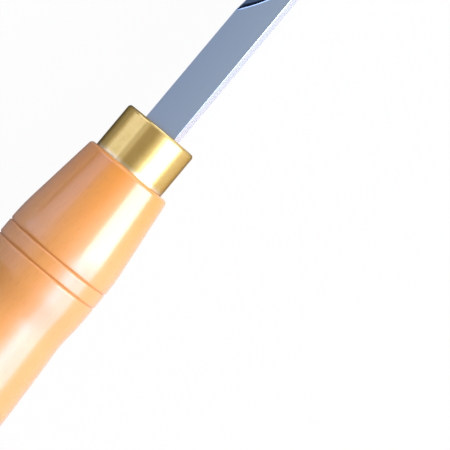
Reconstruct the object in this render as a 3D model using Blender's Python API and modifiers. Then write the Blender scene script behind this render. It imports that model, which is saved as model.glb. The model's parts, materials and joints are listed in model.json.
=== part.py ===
"""Corner chisel: a square steel bar with an L-shaped cutting end, a brass ferrule and a turned handle.

Every piece is modelled along the tool's own axis: x = 0 is the ferrule's front rim, the cutting
edges are towards +X and the butt of the handle is towards -X. The tool is then laid down on a bench
at z = 0, where it rests on the lower edge of its tip and on the front swell of its handle.
"""

import math

import bmesh
import bpy
from mathutils import Vector

# Driving dimensions, in metres and radians.

# Blade: a ground square bar, milled to an L and ground with two inside bevels.
BAR_WIDTH = 0.0100
SHANK_REACH = 0.0376        # ferrule rim to the point where the channel enters the bar's corner
CHANNEL_RUNOUT = 0.0150     # length in which the channel comes down to its full depth
RUNOUT_SLOPE = 0.74         # how steeply it starts
CHANNEL_LENGTH = 0.0575     # full depth, as far as the inside bevels
CHANNEL_FILLET = 0.0008     # radius in the inside corner of the L
WING_THICKNESS = 0.0030     # both walls of the L
BEVEL_ANGLE = math.radians(30.0)
EDGE_LAND = 0.0002          # thickness left at the cutting edges

# Tang: the square taper that is driven into the handle.
TANG_LEDGE = 0.0015         # shoulder of the bar that bears on the wood, each side
TANG_TAPER = 0.0012         # narrowing over the tang's length, each side
TANG_LENGTH = 0.0600

# Ferrule: a brass tube that clears the bar's corners.
FERRULE_CORNER_GAP = 0.0030
FERRULE_WALL = 0.0012
FERRULE_LENGTH = 0.0136
FERRULE_RIM_ROUND = 0.0010

# Handle: each length runs on from the one before it, from the spigot's end to the butt.
SPIGOT_RECESS = 0.0010      # ferrule rim to the end of the wood inside it
SPIGOT_CHAMFER = 0.0005
SHOULDER_STEP = 0.00215     # the wood stands proud of the ferrule
SHOULDER_ROUND = 0.0012
TAPER_RUN = 0.0202          # straight taper behind the shoulder
CROWN_RUN = 0.0085          # the taper rounds over into the front swell
CROWN_RISE = 0.0006
FRONT_SWELL_DIAMETER = 0.0333
GROOVE_WIDTH = 0.0010
GROOVE_DEPTH = 0.00045
BAND_WIDTH = 0.0037         # plain band between the two cut rings
REAR_BAND_RUN = 0.0044      # plain run behind the rings
WAIST_RUN = 0.0086          # down to the narrowest point of the waist
WAIST_DIAMETER = 0.0322
COVE_RUN = 0.0070           # out of the waist into the grip
COVE_RISE = 0.0004
GRIP_RUN = 0.0430           # along the grip to the widest point of the palm swell
GRIP_FULLNESS = 1.3         # how much steeper than its chord the grip starts
PALM_DIAMETER = 0.0372
PALM_TO_BUTT = 0.0310
BUTT_FLAT_DIAMETER = 0.0100

# Seated pieces keep this gap to each other.
CLEARANCE = 0.0003
# Cutters reach this far past what they cut.
CUT_OVERRUN = 0.0020

TURNED_SIDES = 40           # facets round the turned pieces
ARC_STEPS = 4               # straight runs in a rounded edge
CURVE_STEPS = 6             # straight runs in a long curve
DOME_STEPS = 12             # straight runs in the butt's dome

OBJECT_NAME = "corner_chisel"

# Sizes that follow from the driving dimensions.
CHANNEL_DEPTH = BAR_WIDTH - WING_THICKNESS
BEVEL_LENGTH = (WING_THICKNESS - EDGE_LAND) / math.tan(BEVEL_ANGLE)
TIP_X = SHANK_REACH + CHANNEL_RUNOUT + CHANNEL_LENGTH + BEVEL_LENGTH
SPIGOT_END_X = -SPIGOT_RECESS
BAR_SHOULDER_X = SPIGOT_END_X + CLEARANCE
TANG_WIDTH = BAR_WIDTH - 2.0 * TANG_LEDGE
FERRULE_BORE_RADIUS = BAR_WIDTH / math.sqrt(2.0) + FERRULE_CORNER_GAP
FERRULE_RADIUS = FERRULE_BORE_RADIUS + FERRULE_WALL
SPIGOT_RADIUS = FERRULE_BORE_RADIUS - CLEARANCE
SHOULDER_X = -FERRULE_LENGTH - CLEARANCE
SHOULDER_RADIUS = FERRULE_RADIUS + SHOULDER_STEP
HALF_FACET = math.pi / TURNED_SIDES


def clear_scene():
    """Remove every object of the open scene."""
    for item in list(bpy.data.objects):
        bpy.data.objects.remove(item, do_unlink=True)


def make_collection(name):
    """Make a collection in the scene."""
    collection = bpy.data.collections.new(name)
    bpy.context.scene.collection.children.link(collection)
    return collection


def make_material(name, colour, roughness, metallic):
    """Make a Principled material from a linear colour."""
    material = bpy.data.materials.new(name)
    material.use_nodes = True
    shader = material.node_tree.nodes["Principled BSDF"]
    shader.inputs["Base Color"].default_value = (*colour, 1.0)
    shader.inputs["Roughness"].default_value = roughness
    shader.inputs["Metallic"].default_value = metallic
    return material


def add_object(name, mesh_builder, collection, parent):
    """Turn a bmesh into an object that is carried by the tool's axis."""
    mesh = bpy.data.meshes.new(name)
    mesh_builder.to_mesh(mesh)
    mesh_builder.free()
    item = bpy.data.objects.new(name, mesh)
    item.parent = parent
    collection.objects.link(item)
    return item


def cut(item, cutter):
    """Take a cutter out of a piece and show the cutter only as wires."""
    modifier = item.modifiers.new(cutter.name, "BOOLEAN")
    modifier.operation = "DIFFERENCE"
    modifier.solver = "EXACT"
    modifier.object = cutter
    cutter.hide_render = True
    cutter.display_type = "WIRE"


def arc(centre_x, centre_r, radius_x, radius_r, start, end, steps=ARC_STEPS):
    """Points (x, r) on an elliptic arc from one angle to another, 0 along +x and 90 degrees along +r."""
    points = []
    for step in range(steps + 1):
        angle = start + (end - start) * step / steps
        points.append((centre_x + radius_x * math.cos(angle), centre_r + radius_r * math.sin(angle)))
    return points


def ease(start, end, start_slope, end_slope, steps=CURVE_STEPS):
    """Points on a cubic from start to end, without the end points, with its slope at both ends."""
    run = end[0] - start[0]
    points = []
    for step in range(1, steps):
        t = step / steps
        r = (
            (2 * t**3 - 3 * t**2 + 1) * start[1]
            + (t**3 - 2 * t**2 + t) * run * start_slope
            + (3 * t**2 - 2 * t**3) * end[1]
            + (t**3 - t**2) * run * end_slope
        )
        points.append((start[0] + run * t, r))
    return points


def groove(front_x, radius):
    """Points (x, r) of a cut ring, from its front edge to its back edge."""
    half = GROOVE_WIDTH / 2.0
    return [(front_x, radius), (front_x - half, radius - GROOVE_DEPTH), (front_x - GROOVE_WIDTH, radius)]


def handle_profile():
    """Points (x, r) of the handle from the spigot's end on the axis to the butt on the axis."""
    quarter = math.pi / 2.0
    swell = FRONT_SWELL_DIAMETER / 2.0
    waist = WAIST_DIAMETER / 2.0
    palm = PALM_DIAMETER / 2.0
    flat = BUTT_FLAT_DIAMETER / 2.0

    points = [(SPIGOT_END_X, 0.0), (SPIGOT_END_X, SPIGOT_RADIUS - SPIGOT_CHAMFER)]
    points.append((SPIGOT_END_X - SPIGOT_CHAMFER, SPIGOT_RADIUS))
    points.append((SHOULDER_X, SPIGOT_RADIUS))

    # The rounded shoulder behind the ferrule, then a straight taper that rounds into the front swell.
    round_x = SHOULDER_X - SHOULDER_ROUND
    round_r = SHOULDER_RADIUS - SHOULDER_ROUND
    points += arc(round_x, round_r, SHOULDER_ROUND, SHOULDER_ROUND, 0.0, quarter)
    taper_end = (round_x - TAPER_RUN, swell - CROWN_RISE)
    taper_slope = (SHOULDER_RADIUS - taper_end[1]) / TAPER_RUN
    front_groove = groove(taper_end[0] - CROWN_RUN, swell)
    points.append(taper_end)
    points += ease(taper_end, front_groove[0], taper_slope, 0.0)

    # Two cut rings with a plain band between them, and a plain run behind them.
    back_groove = groove(front_groove[-1][0] - BAND_WIDTH, swell)
    rear_band_end = (back_groove[-1][0] - REAR_BAND_RUN, swell)
    points += front_groove + back_groove
    points.append(rear_band_end)

    # Waist, grip, palm swell and domed butt.
    waist_point = (rear_band_end[0] - WAIST_RUN, waist)
    grip_start = (waist_point[0] - COVE_RUN, waist + COVE_RISE)
    palm_point = (grip_start[0] - GRIP_RUN, palm)
    grip_slope = GRIP_FULLNESS * (grip_start[1] - palm) / GRIP_RUN
    points += ease(rear_band_end, waist_point, 0.0, 0.0)
    points.append(waist_point)
    points += ease(waist_point, grip_start, 0.0, grip_slope)
    points.append(grip_start)
    points += ease(grip_start, palm_point, grip_slope, 0.0)
    points += arc(palm_point[0], flat, PALM_TO_BUTT, palm - flat, quarter, 2.0 * quarter, DOME_STEPS)
    points.append((palm_point[0] - PALM_TO_BUTT, 0.0))
    return points


def ferrule_profile():
    """Closed ring of points (x, r): down the outside, in, and up the bore."""
    rim_round = min(FERRULE_RIM_ROUND, FERRULE_WALL)
    points = [(0.0, FERRULE_BORE_RADIUS)]
    points += arc(-rim_round, FERRULE_RADIUS - rim_round, rim_round, rim_round, 0.0, math.pi / 2.0)
    points.append((-FERRULE_LENGTH, FERRULE_RADIUS))
    points.append((-FERRULE_LENGTH, FERRULE_BORE_RADIUS))
    return points


def turn(name, profile, closed, collection, parent):
    """Turn a profile about the tool's axis, with a flat facet underneath."""
    builder = bmesh.new()
    across = Vector((math.cos(HALF_FACET), math.sin(HALF_FACET), 0.0))
    verts = [builder.verts.new(across * r + Vector((0.0, 0.0, x))) for x, r in profile]
    for first, second in zip(verts, verts[1:]):
        builder.edges.new((first, second))
    if closed:
        builder.edges.new((verts[-1], verts[0]))
    item = add_object(name, builder, collection, parent)
    # The profile stands along Z, and the tool's axis is X.
    item.rotation_euler = (0.0, math.pi / 2.0, 0.0)
    screw = item.modifiers.new("turned", "SCREW")
    screw.axis = "Z"
    screw.steps = TURNED_SIDES
    screw.render_steps = TURNED_SIDES
    screw.use_merge_vertices = True
    screw.merge_threshold = 0.00001
    screw.use_smooth_shade = True
    return item


def loft(sections):
    """Join sections, each a ring of points, into one closed solid, and give its rings of vertices too."""
    builder = bmesh.new()
    rings = [[builder.verts.new(point) for point in section] for section in sections]
    for ring, next_ring in zip(rings, rings[1:]):
        for place, vert in enumerate(ring):
            before = place - 1
            builder.faces.new((ring[before], vert, next_ring[place], next_ring[before]))
    builder.faces.new(rings[0])
    builder.faces.new(rings[-1])
    bmesh.ops.recalc_face_normals(builder, faces=builder.faces)
    return builder, rings


def square(x, width):
    """Four points of a square round the axis at x."""
    half = width / 2.0
    return [(x, half, half), (x, -half, half), (x, -half, -half), (x, half, -half)]


def build_handle(collection, cutters, parent):
    """Turned beech handle with its spigot and the hole for the tang."""
    handle = turn("handle", handle_profile(), False, collection, parent)
    hole_mouth = TANG_WIDTH + 2.0 * CLEARANCE
    hole_end_x = BAR_SHOULDER_X - TANG_LENGTH - CLEARANCE
    hole, _ = loft([
        square(SPIGOT_END_X + CUT_OVERRUN, hole_mouth),
        square(BAR_SHOULDER_X, hole_mouth),
        square(hole_end_x, hole_mouth - 2.0 * TANG_TAPER),
    ])
    cut(handle, add_object("tang_hole_cutter", hole, cutters, parent))
    handle.data.materials.append(make_material("lacquered_beech", (0.80, 0.40, 0.13), 0.25, 0.0))
    return handle


def build_ferrule(collection, parent):
    """Brass tube with a rounded front rim."""
    ferrule = turn("ferrule", ferrule_profile(), True, collection, parent)
    ferrule.data.materials.append(make_material("polished_brass", (0.75, 0.55, 0.22), 0.25, 1.0))
    return ferrule


def channel_cutter(cutters, parent):
    """The milled channel: it enters at the bar's upper left corner and ends in the inside bevels."""
    half = BAR_WIDTH / 2.0
    outside = half + 2.0 * CUT_OVERRUN
    full_x = SHANK_REACH + CHANNEL_RUNOUT
    entry = (SHANK_REACH, 0.0)
    floor = (full_x, CHANNEL_DEPTH)
    stations = [
        (SHANK_REACH - CUT_OVERRUN / RUNOUT_SLOPE, -CUT_OVERRUN),
        entry,
        *ease(entry, floor, RUNOUT_SLOPE, 0.0),
        floor,
        (full_x + CHANNEL_LENGTH, CHANNEL_DEPTH),
        (TIP_X + CUT_OVERRUN, BAR_WIDTH - EDGE_LAND + CUT_OVERRUN * math.tan(BEVEL_ANGLE)),
    ]
    sections = []
    for x, depth in stations:
        inner = half - depth
        sections.append([(x, outside, outside), (x, inner, outside), (x, inner, inner), (x, outside, inner)])
    builder, rings = loft(sections)

    # The inside corner is rounded as far as the bevels, which are ground sharp.
    corner = [ring[2] for ring in rings[:-1]]
    corner_edges = [builder.edges.get(ends) for ends in zip(corner, corner[1:])]
    bmesh.ops.bevel(
        builder, geom=corner_edges, offset=CHANNEL_FILLET, offset_type="OFFSET",
        segments=ARC_STEPS, profile=0.5, affect="EDGES", material=-1,
    )
    return add_object("channel_cutter", builder, cutters, parent)


def build_blade(collection, cutters, parent):
    """Square bar with its tang at the back and the L-shaped cutting end at the front."""
    tang_end_width = TANG_WIDTH - 2.0 * TANG_TAPER
    builder, _ = loft([
        square(TIP_X, BAR_WIDTH),
        square(BAR_SHOULDER_X, BAR_WIDTH),
        square(BAR_SHOULDER_X, TANG_WIDTH),
        square(BAR_SHOULDER_X - TANG_LENGTH, tang_end_width),
    ])
    blade = add_object("blade", builder, collection, parent)
    cut(blade, channel_cutter(cutters, parent))
    blade.data.materials.append(make_material("ground_steel", (0.55, 0.58, 0.62), 0.28, 1.0))
    return blade


def lay_down(axis):
    """Tilt and lift the tool so that its tip and the lowest part of its handle touch z = 0."""
    half = BAR_WIDTH / 2.0
    # The turned pieces reach down only as far as the flat of their lowest facet.
    profile = [(x, r * math.cos(HALF_FACET)) for x, r in handle_profile()]
    tilt = max(math.atan2(r - half, TIP_X - x) for x, r in profile)
    front = TIP_X * math.cos(tilt) + half * math.sin(tilt)
    back = min(x * math.cos(tilt) - r * math.sin(tilt) for x, r in profile)
    axis.rotation_euler = (0.0, tilt, 0.0)
    axis.location = (-(front + back) / 2.0, 0.0, TIP_X * math.sin(tilt) + half * math.cos(tilt))


def main():
    """Build the corner chisel."""
    clear_scene()
    parts = make_collection(OBJECT_NAME)
    cutters = make_collection(OBJECT_NAME + "_cutters")
    axis = bpy.data.objects.new("tool_axis", None)
    parts.objects.link(axis)
    build_blade(parts, cutters, axis)
    build_ferrule(parts, axis)
    build_handle(parts, cutters, axis)
    lay_down(axis)


main()
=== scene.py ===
"""Looks of a corner chisel on a white bench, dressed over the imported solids.

Three pieces stand for the three solids: a ground steel blade, a polished brass ferrule and a lacquered
beech handle. Each is built along the tool's own axis, where x = 0 is the ferrule's front rim and the
cutting edges are towards +x, and is then laid into the frame. Sizes are in metres and angles in degrees,
unless a name or a comment says otherwise.
"""

import json
import logging
import math
from dataclasses import dataclass
from enum import Enum
from typing import Any

import bmesh
import bpy
from mathutils import Matrix, Vector


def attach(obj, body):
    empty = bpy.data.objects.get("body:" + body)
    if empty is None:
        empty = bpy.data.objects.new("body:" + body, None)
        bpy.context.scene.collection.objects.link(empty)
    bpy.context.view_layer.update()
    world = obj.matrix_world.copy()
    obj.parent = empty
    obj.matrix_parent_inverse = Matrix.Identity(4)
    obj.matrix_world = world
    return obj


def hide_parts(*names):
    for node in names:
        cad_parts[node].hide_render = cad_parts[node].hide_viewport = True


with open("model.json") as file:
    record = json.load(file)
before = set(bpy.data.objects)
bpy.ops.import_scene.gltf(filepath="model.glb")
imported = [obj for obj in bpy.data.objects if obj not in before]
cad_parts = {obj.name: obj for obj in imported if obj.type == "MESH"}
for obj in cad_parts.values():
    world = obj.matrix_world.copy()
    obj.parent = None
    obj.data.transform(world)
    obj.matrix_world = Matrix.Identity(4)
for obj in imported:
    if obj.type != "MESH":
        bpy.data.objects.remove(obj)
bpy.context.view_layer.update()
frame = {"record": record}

LOG = logging.getLogger("corner_chisel")

BODY = "root"                   # the row has no joints, so every piece rides on its one body
MILLIMETRE = 0.001
MERGE_DISTANCE = 0.000002
CLEARANCE = 0.0003              # gap round the spigot and behind the bar and the tang, as in the solids

# The turned solids have 40 flat facets, and the round pieces stay inside their flats.
SOLID_FACETS = 40
FACET_INSET = math.cos(math.pi / SOLID_FACETS)
TURNED_STEPS = 160              # facets round the turned pieces of this scene
ROUND_STEPS = 10                # straight runs in a rounded edge
CURVE_STEPS = 24                # straight runs in a long curve
RING_SHARPNESS = 1.5            # how fast the lips of a cut ring fall to its bottom

PAINTED_CORNER_SHADE = "painted_corner_shade"   # vertex attribute of the blade: how much painted shade lies in the channel's inside corner
SHADE_POINT = 5                 # where the painted corner shade begins in the points of a section of the blade

# Sockets of a Mix node that mixes colours: three inputs and the output.
MIX_SHARE = 0
MIX_FROM = 6
MIX_TO = 7
MIX_COLOUR = 2
NOISE_SPAN = (0.3, 0.7)         # most values of a noise pattern lie between these
WAVE_TURN = 20.0                # a wave pattern of scale 1 goes on by this many radians in one unit

WHITE = "#FFFFFF"
SIDE_TINT = "#C8D6FF"           # of the panels on the ferrule's left
FRONT_TINT = "#D8E2FF"          # of the panels ahead of the ferrule

Point = tuple[float, float]
Builder = bmesh.types.BMesh
Piece = bpy.types.Object
Tree = bpy.types.NodeTree
Socket = bpy.types.NodeSocket
Material = bpy.types.Material


def linear(hex_code: str) -> tuple[float, float, float, float]:
    """Turn an sRGB hex colour into a linear one.

    Args:
        hex_code: a hash and six hex digits.

    Returns:
        Linear red, green and blue, and an alpha of 1.
    """
    channels = []
    for place in (1, 3, 5):
        value = int(hex_code[place:place + 2], 16) / 255.0
        # The sRGB curve is straight near black and a power above that.
        channels.append(value / 12.92 if value <= 0.04045 else ((value + 0.055) / 1.055) ** 2.4)
    return (channels[0], channels[1], channels[2], 1.0)


def add_node(
    tree: Tree, kind: str, inputs: dict[str | int, Any] | None = None, **settings: Any,
) -> bpy.types.Node:
    """Add a node with its settings, values and links.

    Args:
        tree: the node tree it goes into.
        kind: Blender's name for the kind of node.
        inputs: for each input, a value or the output that feeds it.
        settings: attributes of the node itself.

    Returns:
        The new node.
    """
    node = tree.nodes.new(kind)
    for name, value in settings.items():
        setattr(node, name, value)
    for socket, value in (inputs or {}).items():
        if isinstance(value, Socket):
            tree.links.new(value, node.inputs[socket])
        else:
            node.inputs[socket].default_value = value
    return node


def start_material(name: str) -> tuple[Material, Tree, bpy.types.Node]:
    """Start a material from a bare Principled shader.

    Args:
        name: the finish's name.

    Returns:
        The material, its node tree and its shader.
    """
    material = bpy.data.materials.new(name)
    material.use_nodes = True
    tree = material.node_tree
    return material, tree, tree.nodes["Principled BSDF"]


def finish_metal(
    tree: Tree, shader: bpy.types.Node, colour: Socket, pattern: Socket, gloss: Point, height: float,
) -> None:
    """Give a metal its colour, and let a fine pattern vary its gloss and its relief.

    Args:
        tree: the finish's node tree.
        shader: its shader.
        colour: its colour.
        pattern: the pattern that the tools left.
        gloss: roughness where the pattern is low and where it is high.
        height: relief of the pattern.
    """
    roughness = add_node(tree, "ShaderNodeMapRange", {
        "Value": pattern, "From Min": NOISE_SPAN[0], "From Max": NOISE_SPAN[1],
        "To Min": gloss[0], "To Max": gloss[1],
    })
    bump = add_node(tree, "ShaderNodeBump", {"Height": pattern, "Distance": height, "Strength": 1.0})
    tree.links.new(colour, shader.inputs["Base Color"])
    tree.links.new(roughness.outputs["Result"], shader.inputs["Roughness"])
    tree.links.new(bump.outputs["Normal"], shader.inputs["Normal"])
    shader.inputs["Metallic"].default_value = 1.0


def stretch(length_mm: float, width_mm: float) -> tuple[float, float, float]:
    """Scale of a pattern that is drawn out along the tool to a length and a width."""
    return (1.0 / length_mm, 1.0 / width_mm, 1.0 / width_mm)


def add_object(name: str, data: bpy.types.ID) -> bpy.types.Object:
    """Add an object to the scene.

    Args:
        name: its name.
        data: its mesh, lamp or lens.

    Returns:
        The object.
    """
    added = bpy.data.objects.new(name, data)
    bpy.context.scene.collection.objects.link(added)
    return added


def aim(holder: bpy.types.Object, place: Vector, right: Vector, up: Vector, back: Vector) -> None:
    """Put a lamp or the camera in its place, facing away from its back."""
    holder.matrix_world = Matrix.Translation(place) @ Matrix((right, up, back)).transposed().to_4x4()


@dataclass(frozen=True)
class ToolAxis:
    """The tool's own axis, as it lies in the frame.

    Attributes:
        origin: centre of the ferrule's front rim.
        tilt: how far the axis points down towards the tip, in radians.
    """

    origin: Vector
    tilt: float

    @classmethod
    def from_record(cls, record: dict[str, Any], bar_width: float, reach: float) -> "ToolAxis":
        """Find the axis from the record's mount on the bar's lower face.

        Args:
            record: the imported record.
            bar_width: width of the square bar.
            reach: length from the ferrule's rim to the tip; the mount is halfway along it.

        Returns:
            The axis.
        """
        heel = next(mount for mount in record["mounts"] if mount["name"] == "heel_face")
        down = Vector(heel["axis"])
        tilt = math.atan2(-down.x, -down.z)
        middle = Vector(heel["pos_m"]) - down * bar_width / 2.0
        forward = Vector((math.cos(tilt), 0.0, -math.sin(tilt)))
        return cls(middle - forward * reach / 2.0, tilt)

    @property
    def matrix(self) -> Matrix:
        """The turn and move that lay a piece into the frame."""
        return Matrix.Translation(self.origin) @ Matrix.Rotation(self.tilt, 4, "Y")

    @property
    def forward(self) -> Vector:
        """Direction along the tool towards its tip, in the frame."""
        return self.direction(1.0, 0.0, 0.0)

    def direction(self, along: float, left: float, up: float) -> Vector:
        """A direction given along the tool, to its left and up, in the frame."""
        return (self.matrix.to_3x3() @ Vector((along, left, up))).normalized()

    def millimetres(self, tree: Tree) -> Socket:
        """Add nodes that give the place on the tool in millimetres, with x along its axis.

        Args:
            tree: the node tree of a finish.

        Returns:
            The vector output.
        """
        mapping = add_node(tree, "ShaderNodeMapping", {
            "Vector": add_node(tree, "ShaderNodeTexCoord").outputs["Object"],
            "Location": self.origin,
            "Rotation": (0.0, self.tilt, 0.0),
            "Scale": (MILLIMETRE, MILLIMETRE, MILLIMETRE),
        }, vector_type="TEXTURE")
        return mapping.outputs["Vector"]


@dataclass(frozen=True)
class GroundSteel:
    """Hardened tool steel, surface ground along its length.

    It gives the eye a cool grey with a soft sheen: fine grinding lines run along the bar, blur what it
    mirrors, and differ a little in gloss from one to the next. A painted sheen makes its right side
    brighter.
    """

    name: str = "ground_tool_steel"
    bright: str = "#CDE1F8"
    dull: str = "#C0D5F3"
    grade_mm: Point = (5.5, -6.5)   # painted sheen: from dull to bright between these, across the bar to its right
    line_length_mm: float = 22.0
    line_width_mm: float = 0.30     # real grinding lines are finer; these are as coarse as the render shows
    line_share: float = 0.15        # how far the lines shift that grade
    line_height: float = 0.00000015
    gloss: Point = (0.28, 0.30)     # roughness of the smoothest and the roughest lines

    def make(self, axis: ToolAxis) -> Material:
        """Make the finish.

        Args:
            axis: the tool's axis, which the grinding lines follow.

        Returns:
            The material.
        """
        material, tree, shader = start_material(self.name)
        place = axis.millimetres(tree)
        line_space = add_node(tree, "ShaderNodeMapping", {
            "Vector": place, "Scale": stretch(self.line_length_mm, self.line_width_mm),
        })
        lines = add_node(tree, "ShaderNodeTexNoise", {
            "Vector": line_space.outputs["Vector"], "Scale": 1.0, "Detail": 3.0, "Roughness": 0.6,
        }).outputs["Fac"]
        # Painted sheen: the steel turns brighter towards the bar's right, on the softbox's side.
        grade = add_node(tree, "ShaderNodeMapRange", {
            "Value": add_node(tree, "ShaderNodeSeparateXYZ", {"Vector": place}).outputs["Y"],
            "From Min": self.grade_mm[0], "From Max": self.grade_mm[1],
        })
        shift = add_node(tree, "ShaderNodeMapRange", {
            "Value": lines, "To Min": -self.line_share, "To Max": self.line_share,
        })
        shade = add_node(tree, "ShaderNodeMath", {
            0: grade.outputs["Result"], 1: shift.outputs["Result"],
        }, operation="ADD", use_clamp=True)
        colour = add_node(tree, "ShaderNodeMix", {
            MIX_SHARE: shade.outputs["Value"], MIX_FROM: linear(self.dull), MIX_TO: linear(self.bright),
        }, data_type="RGBA")
        finish_metal(tree, shader, colour.outputs[MIX_COLOUR], lines, self.gloss, self.line_height)
        return material


@dataclass(frozen=True)
class MilledSteel:
    """The channel's steel as it left the milling cutter and the hardening fire.

    It gives the eye a duller grey than the ground faces, crossed by fine cutter marks; that grey is partly
    its own and partly a painted dim reflection. Near-black painted shade lies in the inside corner.
    """

    # Darker than the ground steel: partly the milled steel's own grey, partly a painted dim reflection.
    pale: str = "#515F6F"
    dark: str = "#424F5E"
    # painted shade, near black, in the channel's inside corner
    corner_shade: str = "#161C26"
    cloud_mm: float = 5.0
    mark_mm: float = 0.55           # feed of the cutter, coarse enough to show
    mark_height: float = 0.000006
    gloss: Point = (0.34, 0.50)

    def make(self, axis: ToolAxis) -> Material:
        """Make the finish.

        Args:
            axis: the tool's axis, which the cutter marks cross.

        Returns:
            The material.
        """
        material, tree, shader = start_material("milled_hardened_steel")
        place = axis.millimetres(tree)
        marks = add_node(tree, "ShaderNodeTexNoise", {
            "W": add_node(tree, "ShaderNodeSeparateXYZ", {"Vector": place}).outputs["X"],
            "Scale": 1.0 / self.mark_mm, "Detail": 1.0,
        }, noise_dimensions="1D").outputs["Fac"]
        cloud = add_node(tree, "ShaderNodeTexNoise", {
            "Vector": place, "Scale": 1.0 / self.cloud_mm, "Detail": 3.0,
        })
        milled = add_node(tree, "ShaderNodeMix", {
            MIX_SHARE: cloud.outputs["Fac"], MIX_FROM: linear(self.dark), MIX_TO: linear(self.pale),
        }, data_type="RGBA")
        # Painted shade: the inside corner goes near black, where the channel's wall shades its floor.
        corner = add_node(tree, "ShaderNodeAttribute", attribute_name=PAINTED_CORNER_SHADE)
        colour = add_node(tree, "ShaderNodeMix", {
            MIX_SHARE: corner.outputs["Fac"],
            MIX_FROM: milled.outputs[MIX_COLOUR], MIX_TO: linear(self.corner_shade),
        }, data_type="RGBA")
        finish_metal(tree, shader, colour.outputs[MIX_COLOUR], marks, self.gloss, self.mark_height)
        return material


@dataclass(frozen=True)
class PolishedBrass:
    """Brass tube, turned and polished on the lathe.

    It gives the eye a warm yellow mirror, drawn out a little along the tube by fine turning lines, with
    a faint bloom of tarnish. At its foot it is painted paler, as a painted highlight where it meets the
    handle.
    """

    bright: str = "#F3CB78"
    bloom: str = "#EBC16C"
    bloom_mm: float = 4.0
    bloom_span: Point = (0.45, 0.75)    # values of the noise at which the bloom starts and is full
    # painted highlight at the tube's foot
    foot_highlight: str = "#FFE4B2"
    foot_highlight_mm: float = 1.7           # the painted highlight fades out this far from the foot
    edge_tint: str = "#959595"      # painted shade: the tube's reflections darken where it turns away
    line_mm: float = 0.28           # real turning lines are finer; these are as coarse as the render shows
    line_height: float = 0.0000006
    gloss: Point = (0.19, 0.23)

    def make(self, axis: ToolAxis, foot_x: float) -> Material:
        """Make the finish.

        Args:
            axis: the tool's axis, which the turning lines go round.
            foot_x: x of the tube's foot.

        Returns:
            The material.
        """
        material, tree, shader = start_material("polished_brass")
        place = axis.millimetres(tree)
        along = add_node(tree, "ShaderNodeSeparateXYZ", {"Vector": place}).outputs["X"]
        lines = add_node(tree, "ShaderNodeTexNoise", {
            "W": along, "Scale": 1.0 / self.line_mm, "Detail": 2.0,
        }, noise_dimensions="1D").outputs["Fac"]
        bloom = add_node(tree, "ShaderNodeTexNoise", {
            "Vector": place, "Scale": 1.0 / self.bloom_mm, "Detail": 4.0, "Roughness": 0.6,
        })
        tarnish = add_node(tree, "ShaderNodeMapRange", {
            "Value": bloom.outputs["Fac"], "From Min": self.bloom_span[0], "From Max": self.bloom_span[1],
        })
        tube = add_node(tree, "ShaderNodeMix", {
            MIX_SHARE: tarnish.outputs["Result"], MIX_FROM: linear(self.bright), MIX_TO: linear(self.bloom),
        }, data_type="RGBA")
        # Painted highlight: the tube turns paler towards its foot.
        foot_mm = foot_x / MILLIMETRE
        foot_highlight_share = add_node(tree, "ShaderNodeMapRange", {
            "Value": along, "From Min": foot_mm, "From Max": foot_mm + self.foot_highlight_mm,
            "To Min": 1.0, "To Max": 0.0,
        }, interpolation_type="SMOOTHSTEP")
        colour = add_node(tree, "ShaderNodeMix", {
            MIX_SHARE: foot_highlight_share.outputs["Result"],
            MIX_FROM: tube.outputs[MIX_COLOUR], MIX_TO: linear(self.foot_highlight),
        }, data_type="RGBA")
        finish_metal(tree, shader, colour.outputs[MIX_COLOUR], lines, self.gloss, self.line_height)
        # Painted shade at the tube's edges, through a grey edge tint.
        shader.inputs["Specular Tint"].default_value = linear(self.edge_tint)
        return material


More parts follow.
